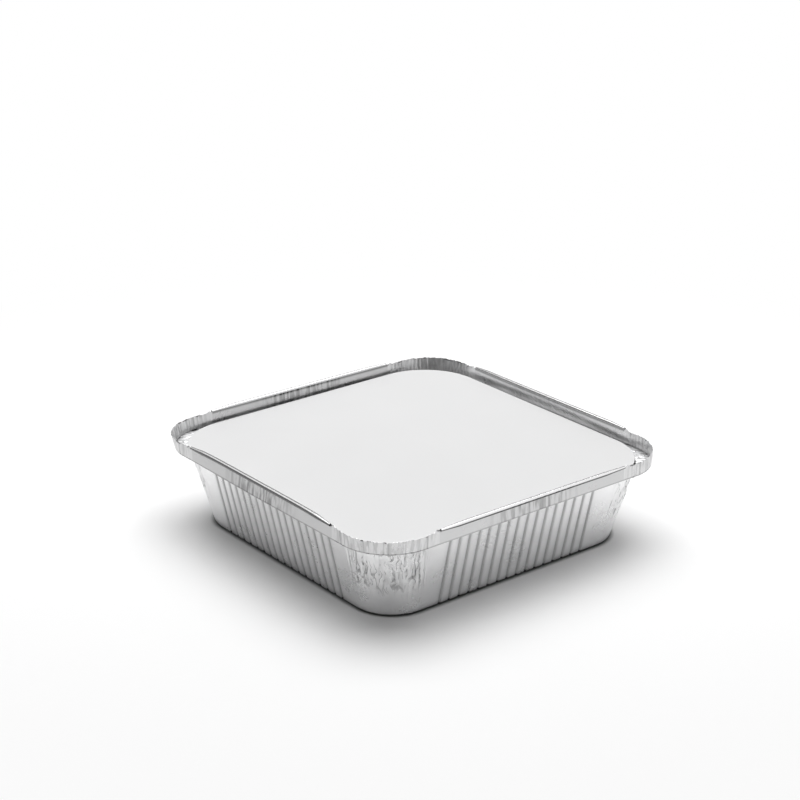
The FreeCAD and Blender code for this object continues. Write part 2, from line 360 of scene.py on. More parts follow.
# Painted shade that grows with a depth, given as a share of the deepest
PaintedShade = namedtuple("PaintedShade", "amount slope start")
WALL_VALLEYS = PaintedShade(1.1, -4.0, -1.4)
LEDGE_PLEATS = PaintedShade(0.7, 2.2, -0.7)
RIM_VALLEYS = PaintedShade(0.4, -2.4, -0.6)

# Uneven stretch of soft noise: its strength, its waves round the corner and up the foil, and where
# in the noise it starts
Grain = namedtuple("Grain", "strength across along start row", defaults=(0.0, 0.0, 0.0))


def painted_shade_for(marks, depth):
    return marks.amount * smooth(marks.slope * depth + marks.start)


def uneven(noise, grain, part, up=0.0):
    """The noise of one grain at a share round the corner and a share up the foil."""
    return grain.strength * noise(part * grain.across + grain.start, up * grain.along + grain.row)


def fold_wave(phase):
    """A foil crease: flat facets between sharp ridges and valleys."""
    return 2 * np.abs(2 * (phase - np.floor(phase + 0.5))) - 1


def corner_path(row, corner, part):
    """Points and outward directions at shares of the way round a corner of an outline."""
    radius = float(row.radius[corner])
    straight = row.half - radius - row.flat
    arc = radius * math.pi / 2
    along = part * (2 * straight + arc)
    middle = row.half - radius
    turn = np.clip((along - straight) / radius, 0, math.pi / 2)
    out = np.stack([np.sin(turn), -np.cos(turn), np.zeros_like(turn)], 1)
    place = np.stack([np.full_like(turn, middle), np.full_like(turn, -middle),
                      np.full_like(turn, row.height)], 1) + out * radius
    place[:, 0] += np.minimum(along - straight, 0)
    place[:, 1] += np.maximum(along - straight - arc, 0)
    return place, out


class CornerCreases:
    """The crushed gathers of one corner, at shares of the way round it and up its wall or rim."""

    SWAY_SEED, GAIN_SEED, FINE_SEED, MARK_SEED = 31, 61, 91, 121  # of the right corner
    END_FADE = 1 / 14  # share of the corner over which the gathers fade out at each end

    SLOW_SWAY = Grain(0.45, 9, 2.4)
    QUICK_SWAY = Grain(0.30, 23, 7, start=7)
    SPLIT_SWAY = Grain(0.8, 11, 6)
    BROAD_GAIN = Grain(0.45, 0.5, 4)  # its waves are counted in gathers, as are the other gains'
    SPLIT_GAIN = Grain(0.9, 0.8, 5, row=9)
    BROAD_LOW, SPLIT_LOW = 0.55, 0.25  # weakest of the broad and of the split folds
    BROAD_FOLLOWS, SPLIT_FOLLOWS = 1.2, 1.5  # how far they follow the sway
    BROAD_SHARE = 0.45  # of the depth; the split folds have the rest
    SPLIT_START = 0.3  # share of a fold by which the split folds are set off from the broad ones
    FOOT_DEPTH, FOOT_TOP, FOOT_RUN = 0.12, 0.22, 0.3125  # the calm foot of the wall
    TOP_CALM, TOP_FROM, TOP_RUN = 0.45, 0.84, 1 / 6  # what the gathers lose under the ledge

    RIM_SWAY = Grain(0.35, 12, 1.2, start=3)
    RIM_GAIN = Grain(0.45, 1, row=3.3)
    RIM_LOW, RIM_FOOT = 0.55, 0.35  # weakest crinkle, and what is left of them at the rim's foot

    LEDGE_DIP = 0.55 * MM  # deepest pleat of the ledge
    LEDGE_SWAY = Grain(0.4, 9, 1)
    LEDGE_GAIN = Grain(0.5, 0.7, row=8.1)
    LEDGE_END = 0.9  # share of the way out where the pleats still show

    CUT_EDGE_MARKS = (Grain(2.4, 34, row=1.7), Grain(0.8, 90, row=4.2))
    CUT_EDGE_MARK_START = -0.3
    NOTCHES = (Grain(0.6, 46, row=2.2), Grain(0.4, 110, row=5.1))
    TAB_HEIGHT = 0.75 * MM  # small peak of the cut edge beside the end of each bead
    TAB_PLACE, TAB_WIDTH = 0.035, 0.014  # shares of the way round the corner
    DROP_FROM, DROP_RUN = 0.03, 0.035  # over which the edge drops from the bead to the cut

    def __init__(self, corner, s):
        self.sway = SoftNoise(self.SWAY_SEED + corner)
        self.gain = SoftNoise(self.GAIN_SEED + corner)
        self.fine = SoftNoise(self.FINE_SEED + corner)
        self.marks = SoftNoise(self.MARK_SEED + corner)
        self.corner = corner
        self.count = s.creases
        self.s = s

    def fade(self, part):
        return smooth(part / self.END_FADE) * smooth((1 - part) / self.END_FADE)

    def wall(self, part, up):
        """How far the wall's gathers stand out."""
        gathers = part * self.count
        sway = uneven(self.sway, self.SLOW_SWAY, part, up) + uneven(self.sway, self.QUICK_SWAY, part, up)
        broad = fold_wave(gathers / 2 + self.BROAD_FOLLOWS * sway)
        split = fold_wave(gathers + self.SPLIT_FOLLOWS * sway
                          + uneven(self.fine, self.SPLIT_SWAY, part, up) + self.SPLIT_START)
        broad *= self.BROAD_LOW + uneven(self.gain, self.BROAD_GAIN, gathers, up)
        split *= from_low(self.SPLIT_LOW,
                          smooth(0.5 + uneven(self.gain, self.SPLIT_GAIN, gathers, up)))
        foot = from_low(self.FOOT_DEPTH, rising(up, self.FOOT_TOP, self.FOOT_RUN))
        top = 1 - self.TOP_CALM * rising(up, self.TOP_FROM, self.TOP_RUN)
        folds = self.BROAD_SHARE * broad + (1 - self.BROAD_SHARE) * split
        return self.s.crease_depth * foot * top * folds * self.fade(part)

    def rim(self, part, up):
        """How far the rim's crinkles stand out."""
        gathers = part * self.count
        wave = fold_wave(gathers + uneven(self.sway, self.RIM_SWAY, part, up))
        wave *= self.RIM_LOW + uneven(self.gain, self.RIM_GAIN, gathers)
        return self.s.rim_crease_depth * wave * self.fade(part) * from_low(self.RIM_FOOT, up)

    def ledge(self, part, out):
        """How far the radial pleats of the ledge dip below it."""
        gathers = part * self.count
        wave = 0.5 - 0.5 * fold_wave(gathers + uneven(self.sway, self.LEDGE_SWAY, part, out))
        gain = 0.5 + uneven(self.gain, self.LEDGE_GAIN, gathers)
        across = math.sin(math.pi * min(out, self.LEDGE_END))
        return self.LEDGE_DIP * wave * gain * self.fade(part) * across

    def cut_marks(self, part):
        """Where the cut edge has darker marks, from 0 to 1."""
        return smooth(sum(uneven(self.marks, grain, part) for grain in self.CUT_EDGE_MARKS)
                      + self.CUT_EDGE_MARK_START)

    def edge(self, part):
        """Height of the cut edge above the level where the bead begins to roll."""
        s = self.s
        notch = sum(uneven(self.fine, grain, part) for grain in self.NOTCHES)
        from_end = np.minimum(part, 1 - part)
        tab = self.TAB_HEIGHT * np.exp(-((from_end - self.TAB_PLACE) / self.TAB_WIDTH) ** 2)
        cut = s.bead_diameter / 2 - s.raw_edge_drop + notch * s.raw_edge_notch
        return tab + rising(from_end, self.DROP_FROM, self.DROP_RUN) * cut


def corner_row(row, creases, part):
    """Points of one outline round a corner, and the painted shade of the foil at each."""
    s, corner = creases.s, creases.corner
    place, out = corner_path(row, corner, part)
    on_rim = row.rim is not None and row.rim >= CORNER_RIM_FROM
    shade = np.full(len(part), CORNER_RIM_PAINTED_SHADE if on_rim else row.painted_shade_level)
    # painted shade of the neighbouring sides, blended into the corner's ends
    shade += side_painted_shade(row, corner) * smooth(1 - 2 * part)
    shade += side_painted_shade(row, corner + 1) * smooth(2 * part - 1)
    if row.wall is not None:
        depth = creases.wall(part, row.wall)
        place += out * depth[:, None]
        # painted shade in the wall's valleys
        shade += painted_shade_for(WALL_VALLEYS, depth / s.crease_depth)
    if row.ledge is not None:
        place += out * (creases.wall(part, 1.0) * (1 - row.ledge)
                        + creases.rim(part, 0.0) * row.ledge)[:, None]
        dip = creases.ledge(part, row.ledge)
        place[:, 2] -= dip
        # painted shade in the ledge's pleats
        shade += painted_shade_for(LEDGE_PLEATS, dip / creases.LEDGE_DIP) * creases.fade(part)
    if row.rim is not None:
        flare = s.corner_flare[corner] * row.rim * np.sin(math.pi * part)
        place += out * (creases.rim(part, row.rim) + flare)[:, None]
        place[:, 2] += creases.edge(part) * row.rim
        # painted shade in the rim's valleys
        shade += painted_shade_for(RIM_VALLEYS, creases.rim(part, 1.0) / s.rim_crease_depth)
        # darker marks under the cut edge
        shade += (CUT_EDGE_DARKENING * creases.cut_marks(part)
                  * rising(row.rim, CUT_EDGE_DARK_FROM, 1 - CUT_EDGE_DARK_FROM))
    return place, shade


# Rolled beads of the tray

BEAD_COLUMNS = 40
BEAD_STEPS = 28
BEAD_END = 1.6 * MM  # over which the bead narrows at its ends
BEAD_PINCH = 0.42  # how much of its radius it loses there
BEAD_SWELL = 0.15  # share of the side's rise that widens the bead
NECK_PAINTED_SHADE, NECK_END = 1.2, 14  # painted shade at the inner side, up to this many degrees of the roll
OUTLINE_PAINTED_SHADE, OUTLINE_PLACE, OUTLINE_WIDTH = 1.65, 95, 21  # of the painted dark line along the top
# painted shade under the bead
UNDER_BEAD_PAINTED_SHADE = 1.7
UNDER_BEAD = (166, 148)  # degrees where it begins, front and back, then the other sides
BEAD_PAINTED_SHADE = (0.0, 0.7, 0.45, 0.0)  # painted shade over the front, right, back and left beads
BEAD_SHADE_FROM = 8  # degrees where it begins
PAINTED_SHADE_RUN = 12  # degrees over which each painted shade comes in


def bead_shade(roll, side):
    """Painted shade of the bead at an angle of its roll, in degrees from its inner side."""
    neck = NECK_PAINTED_SHADE * smooth((NECK_END - roll) / PAINTED_SHADE_RUN)
    outline = OUTLINE_PAINTED_SHADE * math.exp(-((roll - OUTLINE_PLACE) / OUTLINE_WIDTH) ** 2)
    under = UNDER_BEAD_PAINTED_SHADE * rising(roll, UNDER_BEAD[side % 2], PAINTED_SHADE_RUN)
    top = BEAD_PAINTED_SHADE[side] * rising(roll, BEAD_SHADE_FROM, PAINTED_SHADE_RUN)
    return float(neck + outline + under + top)


def bead_rows(s, top_row, side):
    """Outlines of the rolled bead over one side from the top of the rim, with their painted shades."""
    rim = side_row(top_row, side, s)[0]
    base = rim[np.linspace(0, len(rim) - 1, BEAD_COLUMNS).round().astype(int)]
    x = base[:, 0]
    near_end = rising(np.abs(x), top_row.flat - BEAD_END, BEAD_END)
    radius = (s.bead_diameter / 2 + BEAD_SWELL * s.rise[side]) * (1 - BEAD_PINCH * near_end) - s.foil
    centre = base[:, 1] - radius
    for i in range(BEAD_STEPS + 1):
        roll = s.bead_turn * i / BEAD_STEPS
        points = np.stack([x, centre + radius * math.cos(roll),
                           base[:, 2] + radius * math.sin(roll)], 1)
        yield points, np.full(len(x), bead_shade(math.degrees(roll), side))


def turned(points, side):
    """Points made for the front side, carried round to another side."""
    quarter = side * math.pi / 2
    c, d = round(math.cos(quarter)), round(math.sin(quarter))
    return points @ np.array([[c, -d, 0], [d, c, 0], [0, 0, 1]]).T


def tray_skin(s):
    """Vertices, faces and painted shades of the outer skin of the tray with its beads."""
    rows = tray_rows(s)
    corners = [CornerCreases(corner, s) for corner in range(SIDES)]
    part = np.arange(1, CORNER_COLUMNS) / CORNER_COLUMNS
    points, shades = [], []
    for row in rows:
        for side in range(SIDES):
            straight, straight_shade = side_row(row, side, s)
            bend, bend_shade = corner_row(row, corners[side], part)
            points += [turned(straight, side), turned(bend, side)]
            shades += [straight_shade, bend_shade]
    total = sum(len(stretch) for stretch in points)
    columns = total // len(rows)
    faces = [list(range(columns - 1, -1, -1))]
    for r in range(len(rows) - 1):
        low, high = r * columns, (r + 1) * columns
        for i in range(columns):
            j = (i + 1) % columns
            faces.append((low + i, low + j, high + j, high + i))
    for side in range(SIDES):
        below = None
        for bead, shade in bead_rows(s, rows[-1], side):
            points.append(turned(bead, side))
            shades.append(shade)
            here = range(total, total + len(bead))
            total += len(bead)
            if below:
                for i in range(len(here) - 1):
                    faces.append((below[i], below[i + 1], here[i + 1], here[i]))
            below = here
    return np.concatenate(points), faces, np.concatenate(shades)


def mesh_object(name, points, faces):
    """A new object in the scene with a mesh of the given points and faces."""
    mesh = bpy.data.meshes.new(name)
    mesh.from_pydata([tuple(p) for p in points], [], faces)
    mesh.validate()
    piece = bpy.data.objects.new(name, mesh)
    bpy.context.scene.collection.objects.link(piece)
    return piece


def apply_modifiers(piece):
    """The piece keeps the shape its modifiers give it, with none left on it."""
    depsgraph = bpy.context.evaluated_depsgraph_get()
    shaped = bpy.data.meshes.new_from_object(piece.evaluated_get(depsgraph))
    piece.modifiers.clear()
    piece.data = shaped


def finish_shading(piece, sharp_degrees):
    """Smooth shading, with edges left sharp above an angle."""
    piece.data.shade_smooth()
    piece.data.set_sharp_from_angle(angle=math.radians(sharp_degrees))


# Finishes

MOTTLE_RANGE = (0.3, 0.7)  # of the mottle, which seldom goes beyond it
# Slow scale, fine scale and share of the fine in each mottle
FOIL_MOTTLE, BOARD_MOTTLE, FLOOR_MOTTLE = (55.0, 700.0, 0.25), (22.0, 1400.0, 0.5), (3.0, 200.0, 0.3)
# Levels of the colour and of the blur at the two ends of that range
FOIL_SHADES, BOARD_SHADES, FLOOR_SHADES = (0.96, 1.0), (0.985, 1.01), (0.995, 1.0)
FOIL_BLURS, BOARD_BLURS = (0.85, 1.25), (0.92, 1.08)


class Nodes:
    """Short way to lay nodes in a material or a group."""

    def __init__(self, tree):
        self.tree = tree
        tree.nodes.clear()

    def add(self, kind, inputs=(), **settings):
        node = self.tree.nodes.new(kind)
        for key, value in settings.items():
            setattr(node, key, value)
        for key, value in dict(inputs).items():
            if isinstance(value, bpy.types.NodeSocket):
                self.tree.links.new(value, node.inputs[key])
            else:
                node.inputs[key].default_value = value
        return node

    def math(self, operation, a, b=0.0):
        return self.add("ShaderNodeMath", {0: a, 1: b}, operation=operation).outputs[0]

    def product(self, first, *others):
        for other in others:
            first = self.math("MULTIPLY", first, other)
        return first

    def rest(self, value):
        """What the value leaves of 1."""
        return self.math("SUBTRACT", 1.0, value)

    def ramp(self, value, low, high, to_low=0.0, to_high=1.0):
        node = self.add("ShaderNodeMapRange", {"Value": value, "From Min": low, "From Max": high,
                                               "To Min": to_low, "To Max": to_high},
                        interpolation_type="SMOOTHSTEP")
        return node.outputs["Result"]

    def vector(self, operation, inputs, output="Vector"):
        return self.add("ShaderNodeVectorMath", inputs, operation=operation).outputs[output]

    def noise(self, place, scale, detail=2.0):
        return self.add("ShaderNodeTexNoise", {"Vector": place, "Scale": scale,
                                               "Detail": detail}).outputs["Fac"]

    def mottle(self, place, slow_scale, fine_scale, fine_share):
        inputs = {"Place": place, "Slow Scale": slow_scale, "Fine Scale": fine_scale,
                  "Fine Share": fine_share}
        return self.add("ShaderNodeGroup", inputs, node_tree=mottle_group()).outputs["Mottle"]

    def tinted(self, base, shade):
        """A plain colour made lighter or darker by a shade."""
        return self.vector("SCALE", {0: tuple(base), "Scale": shade})


def mottle_group():
    """Slow and fine unevenness of a surface, used by the foil, the board and the floor."""
    group = bpy.data.node_groups.get("Surface Mottle")
    if group:
        return group
    group = bpy.data.node_groups.new("Surface Mottle", "ShaderNodeTree")
    group.interface.new_socket("Place", in_out="INPUT", socket_type="NodeSocketVector")
    for name, default in (("Slow Scale", 40.0), ("Fine Scale", 900.0), ("Fine Share", 0.3)):
        socket = group.interface.new_socket(name, in_out="INPUT", socket_type="NodeSocketFloat")
        socket.default_value = default
    group.interface.new_socket("Mottle", in_out="OUTPUT", socket_type="NodeSocketFloat")
    n = Nodes(group)
    given = n.add("NodeGroupInput").outputs
    slow = n.noise(given["Place"], given["Slow Scale"], 3.0)
    fine = n.noise(given["Place"], given["Fine Scale"])
    both = n.add("ShaderNodeMix", {"Factor": given["Fine Share"], "A": slow, "B": fine})
    n.add("NodeGroupOutput", {"Mottle": both.outputs["Result"]})
    return group


def new_material(name):
    """A new material, its nodes and the place on the surface."""
    material = bpy.data.materials.new(name)
    material.use_nodes = True
    n = Nodes(material.node_tree)
    return material, n, n.add("ShaderNodeTexCoord").outputs["Object"]


# Where the foil's marks lie, in metres from the middle of the base and up from the table
CORNER_FROM, CORNER_FULL = 70 * MM, 80 * MM
GATHERS_FROM, GATHERS_FULL = 10 * MM, 26 * MM
RIM_FOOT, RIM_FULL = LID_LOW.z, LID_LOW.z + 0.6 * MM
BEAD_FROM, BEAD_FULL = TRAY_HIGH.z - 1.7 * MM, TRAY_HIGH.z - 1.0 * MM
MID_SIDE, MID_SIDE_END = 12 * MM, 42 * MM
RIGHT_RIM_FROM, RIGHT_RIM_FULL = 100 * MM, 108 * MM

# Corner lines: size of their cells, their sway, and the widths at which they show
LINE_SCALE = 420.0
LINE_TURN = 0.030  # cell space for one radian round the corner
LINE_RISE = 0.1  # cell space for one metre up, so that the lines run upright
LINE_SWAY, LINE_SWAY_SCALE = 0.009, 120.0
LINE_CORE, LINE_EDGE = 0.03, 0.11
LINE_BREAKS, LINE_BREAK_SCALE = (0.40, 0.56), 170.0
OTHER_CORNER = 3.0  # keeps the four corners' cells apart

STREAK_SCALE = 420.0
STREAK_STRETCH = 0.12  # upright streaks are this much finer across than up
DENT_SCALE, DENT_SHARE = 260.0, 0.6
RIM_STREAKS, PATCH_STREAKS = (0.44, 0.60), (0.42, 0.62)  # of the streaks, where they show
RIGHT_PATCHES = 0.25  # what is left of the painted shade patches on the right rim
# painted shade of the corner lines, of the streaks on the corners' rim and of the mid-side patches
LINE_PAINTED_SHADE, STREAK_PAINTED_SHADE, PATCH_PAINTED_SHADE = 0.95, 0.3, 0.55
LINE_DEPTH, PATCH_HEIGHT = 0.8, 0.7  # in the relief, against the streaks' own height
# Lowest share of the foil's colour that the painted shade leaves
DARKEST_FOIL = 0.06
BEAD_GLOSS = 0.5  # how much of its blur the bead loses
FOIL_BUMP = 0.5  # strength of both of its reliefs
SLOW_RELIEF, FINE_RELIEF = 0.6 * MM, 0.5 * MM


def corner_lines(n, place, x, y, height):
    """Upright broken lines between the gathers of the corner walls, which get painted shade in the
    colour and a shallow groove in the relief.
    """
    beyond = n.add("ShaderNodeSeparateXYZ", {"Vector": n.vector("ABSOLUTE", {0: place})}).outputs
    turn = n.math("ARCTAN2", n.math("SUBTRACT", beyond["Y"], CORNER_FROM),
                  n.math("SUBTRACT", beyond["X"], CORNER_FROM))
    sway = n.product(n.noise(place, LINE_SWAY_SCALE), LINE_SWAY)
    round_corner = n.math("ADD", n.product(turn, LINE_TURN), sway)
    corner = n.math("ADD", n.math("SIGN", x), n.product(n.math("SIGN", y), OTHER_CORNER))
    cell = n.add("ShaderNodeCombineXYZ", {"X": n.math("ADD", round_corner, corner),
                                          "Y": n.product(height, LINE_RISE)}).outputs[0]
    seam = n.add("ShaderNodeTexVoronoi", {"Vector": cell, "Scale": LINE_SCALE},
                 voronoi_dimensions="2D", feature="DISTANCE_TO_EDGE").outputs["Distance"]
    return n.product(n.ramp(seam, LINE_CORE, LINE_EDGE, 1.0, 0.0),
                     n.ramp(n.noise(place, LINE_BREAK_SCALE), *LINE_BREAKS))


def foil_material(f):
    """Bright rolled foil with painted shade, darker in its creases, with painted dark lines and streaks
    where it is gathered and painted dark patches along the middle of its rim.
    """
    material, n, place = new_material("Bright rolled foil")
    mottle = n.mottle(place, *FOIL_MOTTLE)
    x, y, height = n.add("ShaderNodeSeparateXYZ", {"Vector": place}).outputs
    inward = n.math("MINIMUM", n.math("ABSOLUTE", x), n.math("ABSOLUTE", y))
    corner = n.ramp(inward, CORNER_FROM, CORNER_FULL)
    on_rim = n.ramp(height, RIM_FOOT, RIM_FULL)
    on_bead = n.ramp(height, BEAD_FROM, BEAD_FULL)

    upright = n.add("ShaderNodeMapping", {"Vector": place,
                                          "Scale": (1.0, 1.0, STREAK_STRETCH)}).outputs[0]
    streak = n.noise(upright, STREAK_SCALE, 3.0)
    dents = n.add("ShaderNodeTexVoronoi", {"Vector": place, "Scale": DENT_SCALE},
                  feature="SMOOTH_F1").outputs["Distance"]
    on_wall = n.math("SUBTRACT", n.ramp(height, GATHERS_FROM, GATHERS_FULL), on_rim)
    lines = n.product(corner_lines(n, place, x, y, height), corner, on_wall)
    # painted shade streaks on the corners' rim, and painted shade patches along the middle of the rim,
    # which are also raised a little in the relief
    rim_shade_streaks = n.product(n.ramp(streak, *RIM_STREAKS), corner, on_rim)
    shade_patches = n.product(n.ramp(inward, MID_SIDE, MID_SIDE_END, 1.0, 0.0), on_rim,
                        n.ramp(streak, *PATCH_STREAKS), n.rest(on_bead),
                        n.ramp(x, RIGHT_RIM_FROM, RIGHT_RIM_FULL, 1.0, RIGHT_PATCHES))

    crinkle = n.product(n.math("ADD", streak, n.product(dents, DENT_SHARE)), corner)
    relief = n.math("SUBTRACT", n.math("ADD", crinkle, n.product(shade_patches, PATCH_HEIGHT)),
                    n.product(lines, LINE_DEPTH))
    slow_bump = n.add("ShaderNodeBump", {"Height": mottle, "Strength": FOIL_BUMP,
                                         "Distance": SLOW_RELIEF})
    fine_bump = n.add("ShaderNodeBump", {"Height": relief, "Strength": FOIL_BUMP,
                                         "Distance": FINE_RELIEF,
                                         "Normal": slow_bump.outputs["Normal"]})
    blur = n.ramp(mottle, *MOTTLE_RANGE, *(f.foil_roughness * level for level in FOIL_BLURS))
    roughness = n.product(blur, n.rest(n.product(on_bead, BEAD_GLOSS)))

    # The crease attribute carries the painted shade of the tray's points: in its grooves, creases and
    # folds, and over its foot, rim and beads
    crease = n.add("ShaderNodeAttribute", attribute_name="crease").outputs["Fac"]
    # painted shade of the corner lines, streaks and patches, added to that of the points
    for mark, amount in ((lines, LINE_PAINTED_SHADE), (rim_shade_streaks, STREAK_PAINTED_SHADE),
                         (shade_patches, PATCH_PAINTED_SHADE)):
        crease = n.math("ADD", crease, n.product(mark, amount))
    unshaded_share = n.math("MAXIMUM", n.rest(n.product(crease, f.painted_shade_strength)), DARKEST_FOIL)
    shade = n.product(n.ramp(mottle, *MOTTLE_RANGE, *FOIL_SHADES), unshaded_share)
    surface = n.add("ShaderNodeBsdfPrincipled", {"Base Color": n.tinted(f.foil_colour, shade),
                                                 "Metallic": 1.0, "Roughness": roughness,
                                                 "Normal": fine_bump.outputs["Normal"]})
    n.add("ShaderNodeOutputMaterial", {"Surface": surface.outputs[0]})
    return material


FIBRE_SCALE, FIBRE_SHARE = 2600.0, 0.4
BOARD_BUMP, BOARD_RELIEF = 0.35, 0.1 * MM


def board_material(f):
    """Coated white board with a faint grain of fibres."""
    material, n, place = new_material("Coated white board")
    mottle = n.mottle(place, *BOARD_MOTTLE)
    fibre = n.noise(place, FIBRE_SCALE)
    bump = n.add("ShaderNodeBump", {"Height": n.math("ADD", mottle, n.product(fibre, FIBRE_SHARE)),
                                    "Strength": BOARD_BUMP, "Distance": BOARD_RELIEF})
    shade = n.ramp(mottle, *MOTTLE_RANGE, *BOARD_SHADES)
    roughness = n.ramp(mottle, *MOTTLE_RANGE, *(f.board_roughness * level for level in BOARD_BLURS))
    surface = n.add("ShaderNodeBsdfPrincipled", {"Base Color": n.tinted(f.board_colour, shade),
                                                 "Roughness": roughness,
                                                 "Normal": bump.outputs["Normal"]})
    n.add("ShaderNodeOutputMaterial", {"Surface": surface.outputs[0]})
    return material


# Painted contact shadow on the floor round the tray's foot, in metres from the foot's corner centres
FOOT_CENTRE = 68.5 * MM
CONTACT_FROM, CONTACT_END, SOFT_END = 27.5 * MM, 31.2 * MM, 50.0 * MM
CONTACT_PAINTED_SHADOW, SOFT_PAINTED_SHADOW = 0.45, 0.88
GLOW_FROM, GLOW_FULL = 0.22, 0.55  # metres from the middle, over which the floor turns plain white
FLOOR_ROUGHNESS = 0.9


def floor_material(f):
    """White sweep that takes the shadow near the object, with a painted contact shadow round the tray's
    foot, and glows plain white far from it.
    """
    material, n, place = new_material("Studio floor")
    mottle = n.mottle(place, *FLOOR_MOTTLE)
    past_centre = n.vector("SUBTRACT", {0: n.vector("ABSOLUTE", {0: place}),
                                        1: (FOOT_CENTRE, FOOT_CENTRE, 0.0)})
    outside = n.vector("MAXIMUM", {0: past_centre, 1: (0.0, 0.0, 0.0)})
    from_foot = n.vector("LENGTH", {0: outside}, "Value")
    # painted contact shadow round the foot, with the floor's mottle
    shade = n.product(n.ramp(from_foot, CONTACT_FROM, CONTACT_END, CONTACT_PAINTED_SHADOW, 1.0),
                      n.ramp(from_foot, CONTACT_FROM, SOFT_END, SOFT_PAINTED_SHADOW, 1.0),
                      n.ramp(mottle, *MOTTLE_RANGE, *FLOOR_SHADES))
    card = n.add("ShaderNodeBsdfPrincipled", {"Base Color": n.tinted(f.floor_colour, shade),
                                              "Roughness": FLOOR_ROUGHNESS,
                                              "Specular IOR Level": 0.0})
    white = n.add("ShaderNodeEmission", {"Color": (1.0, 1.0, 1.0, 1.0), "Strength": 1.0})
    away = n.vector("LENGTH", {0: place}, "Value")
    blend = n.add("ShaderNodeMixShader", {0: n.ramp(away, GLOW_FROM, GLOW_FULL),
                                          1: card.outputs[0], 2: white.outputs[0]})
    n.add("ShaderNodeOutputMaterial", {"Surface": blend.outputs[0]})
    return material


FOIL_SHARP_DEGREES = 38
BOARD_SHARP_DEGREES = 30


class MESH_OT_foil_tray(bpy.types.Operator):
    """Build the grooved foil tray with its gathered corners and rolled rim"""

    bl_idname = "mesh.foil_tray"
    bl_label = "Foil Tray"

    def execute(self, context):
        s = context.scene.foil_tray_settings
        points, faces, shades = tray_skin(s)
        tray = mesh_object("drawn_foil_tray", points, faces)
        # The crease attribute holds the painted shade of each point, which darkens the foil's colour
        tray.data.attributes.new("crease", "FLOAT", "POINT").data.foreach_set("value", shades)
        sheet = tray.modifiers.new("Foil", "SOLIDIFY")
        sheet.thickness = s.foil
        sheet.offset = -1.0
        apply_modifiers(tray)
        finish_shading(tray, FOIL_SHARP_DEGREES)
        tray.data.materials.append(foil_material(context.scene.finish_settings))
        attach(tray, "root")
        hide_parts("foil_tray")
        return {"FINISHED"}


LID_CORNER_STEPS = 24
LID_RINGS = (0.02, 0.35, 0.6, 0.8, 0.92)  # inner outlines of the board, as shares of its own
WARP_MIDDLE = 0.5  # share of the warp in the middle of the board
WARP_SPAN = 3.6  # half widths over which the board would lift by the whole warp


def lid_outline(half, radius):
    """A rounded square with evenly spread points on its corners."""
    points = []
    for corner in range(SIDES):
        for i in range(LID_CORNER_STEPS + 1):
            turn = (corner + i / LID_CORNER_STEPS) * math.pi / 2 - math.pi / 2
            cx = (half - radius) * (1 if corner in (0, 1) else -1)
            cy = (half - radius) * (1 if corner in (1, 2) else -1)
            points.append((cx + radius * math.cos(turn), cy + radius * math.sin(turn)))
    return np.array(points)


def lid_loops(s):
    """Points of the board's outlines, from the middle of its top round its edge to its underside."""
    half = LID_HIGH.x
    low, high, edge = LID_LOW.z, LID_HIGH.z, s.edge_round
    full = lid_outline(half, s.corner_radius)
    inset = lid_outline(half - edge, s.corner_radius - edge)
    loops = [(inset * ring, high) for ring in LID_RINGS]
    loops += [(inset, high), (full, high - edge), (full, low + edge), (inset, low)]
    loops += [(inset * ring, low) for ring in reversed(LID_RINGS)]
    for outline, height in loops:
        diagonal = (outline[:, 0] + outline[:, 1]) / (WARP_SPAN * half)
        lift = s.warp * np.maximum(WARP_MIDDLE + diagonal, 0)
        yield np.column_stack([outline + (0, s.shift), height + lift])


class MESH_OT_board_lid(bpy.types.Operator):
    """Build the loose board lid, which lifts a little towards the far corner"""

    bl_idname = "mesh.board_lid"
    bl_label = "Board Lid"

    def execute(self, context):
        loops = list(lid_loops(context.scene.board_lid_settings))
        n = len(loops[0])
        faces = [list(range(n))]
        for r in range(len(loops) - 1):
            for i in range(n):
                j = (i + 1) % n
                faces.append((r * n + i, (r + 1) * n + i, (r + 1) * n + j, r * n + j))
        faces.append([(len(loops) - 1) * n + i for i in reversed(range(n))])
        lid = mesh_object("white_board_lid", np.concatenate(loops), faces)
        finish_shading(lid, BOARD_SHARP_DEGREES)
        lid.data.materials.append(board_material(context.scene.finish_settings))
        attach(lid, "root")
        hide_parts("board_lid")
        return {"FINISHED"}


# Studio

FLOOR_STEPS = 96
CLIP_END = 100.0
SENSOR_WIDTH = 36.0
SOFTBOX_HEIGHT = 1.45
SOFTBOX_AWAY = 0.33  # metres past the object, away from the camera
SOFTBOX_SIZE = 1.5
# Where each light of the room and each card that the foil mirrors begins and ends along its
# direction, and its level at each end
ROOM_ABOVE, ROOM_BEHIND = (0.35, 0.95, 0.02, 0.3), (-0.3, 0.8, 0.04, 0.5)
SIDE_CARD, TOP_CARD, BACK_CARD = (0.25, 0.7, 0.0, 0.92), (0.30, 0.62, 0.08, 1.0), (0.0, 0.8, 0.04, 0.8)


def area_light(name, place, aim, width, height, power):
    """A softbox that faces its aim."""
    lamp = bpy.data.lights.new(name, "AREA")
    lamp.shape = "RECTANGLE"
    lamp.size, lamp.size_y = width, height
    lamp.energy = power
    light = bpy.data.objects.new(name, lamp)
    light.location = place
    light.rotation_euler = (Vector(aim) - Vector(place)).to_track_quat("-Z", "Y").to_euler()
    bpy.context.scene.collection.objects.link(light)


